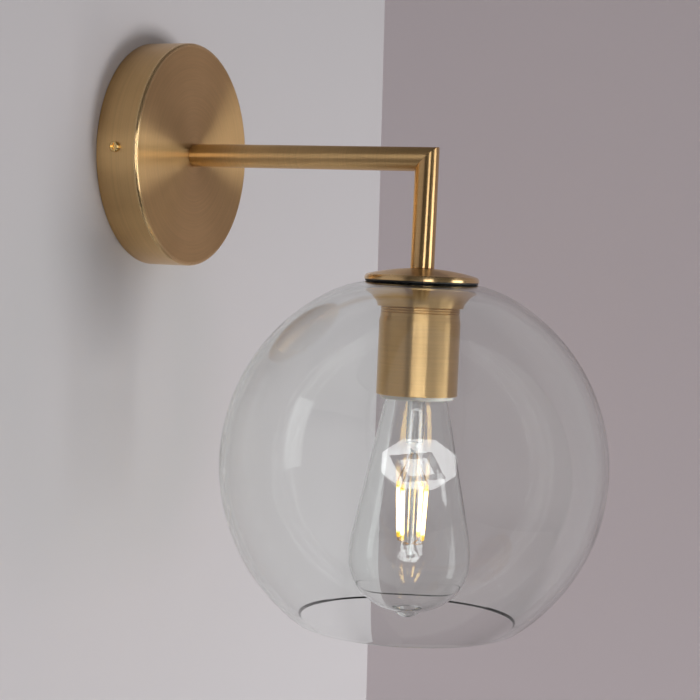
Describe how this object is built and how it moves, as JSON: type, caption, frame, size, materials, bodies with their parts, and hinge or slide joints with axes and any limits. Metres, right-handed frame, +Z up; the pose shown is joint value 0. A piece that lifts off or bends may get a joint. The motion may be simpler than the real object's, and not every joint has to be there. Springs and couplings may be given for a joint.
{
  "type": "globe wall sconce",
  "caption": "Wall sconce with a round rose, a right-angled tube arm and a clear open glass globe hung round a filament bulb.",
  "frame": {"origin": "middle of the wall bracket's back face, on the arm's axis, in the wall plane", "axes": "+Z up along the drop tube, +Y into the wall and -Y out along the arm, +X to the right seen from the room"},
  "size_m": [0.2, 0.26, 0.2989],
  "materials": {
    "satin_brass": "satin brushed, lacquered",
    "bright_brass": "machined",
    "zinc_steel": "zinc plated",
    "clear_glass": "clear, blown",
    "gasket": "matte silicone",
    "porcelain": "white glazed porcelain",
    "nickel": "nickel plated",
    "block_plastic": "moulded polyamide",
    "brown_insulation": "insulated lead",
    "blue_insulation": "insulated lead",
    "earth_insulation": "insulated lead",
    "bulb_envelope": "clear",
    "black_glass": "black vitreous insulator",
    "solder": "solder",
    "filament_coat": "phosphor silicone, lit",
    "board": "circuit board",
    "wire": "nickel wire"
  },
  "bodies": {
    "fixture": {"wall_rose": "satin_brass", "wall_bracket": "zinc_steel", "rose_side_screws": "bright_brass", "arm_tube": "satin_brass", "drop_tube": "satin_brass", "root_nipple": "zinc_steel", "root_washer": "zinc_steel", "root_locknut": "zinc_steel", "terminal_block": "block_plastic", "terminal_barrels": "bright_brass", "clamp_screws": "zinc_steel", "block_screw": "zinc_steel", "earth_screw": "bright_brass", "earth_washer": "bright_brass", "earth_tag": "nickel", "lead_live": "brown_insulation", "lead_neutral": "blue_insulation", "lead_earth": "earth_insulation", "dome_cap": "satin_brass", "upper_gasket": "gasket", "cup_spacer": "zinc_steel", "lamp_cup": "satin_brass", "cup_nipple": "zinc_steel", "cup_washer": "zinc_steel", "cup_locknut": "zinc_steel", "holder_bridge": "zinc_steel", "bridge_screws": "zinc_steel", "holder_porcelain": "porcelain", "thread_shell": "bright_brass", "centre_contact": "bright_brass", "lead_posts": "bright_brass", "post_screws": "zinc_steel"},
    "shade": {"shade_ring": "satin_brass", "lower_gasket": "gasket", "globe_glass": "clear_glass"},
    "bulb": {"bulb_glass": "bulb_envelope", "bulb_cap": "nickel", "bulb_insulator": "black_glass", "bulb_tip_contact": "solder", "bulb_driver": "board", "bulb_stem": "bulb_envelope", "bulb_filaments": "filament_coat", "bulb_wires": "wire"}
  },
  "joints": [
    {"name": "shade_ring_screw_down", "type": "slide", "parent": "fixture", "child": "shade", "axis": [0, 0, -1], "range_m": [0, 0.0045]},
    {"name": "bulb_screw_out", "type": "slide", "parent": "fixture", "child": "bulb", "axis": [0, 0, -1], "range_m": [0, 0.018]}
  ]
}
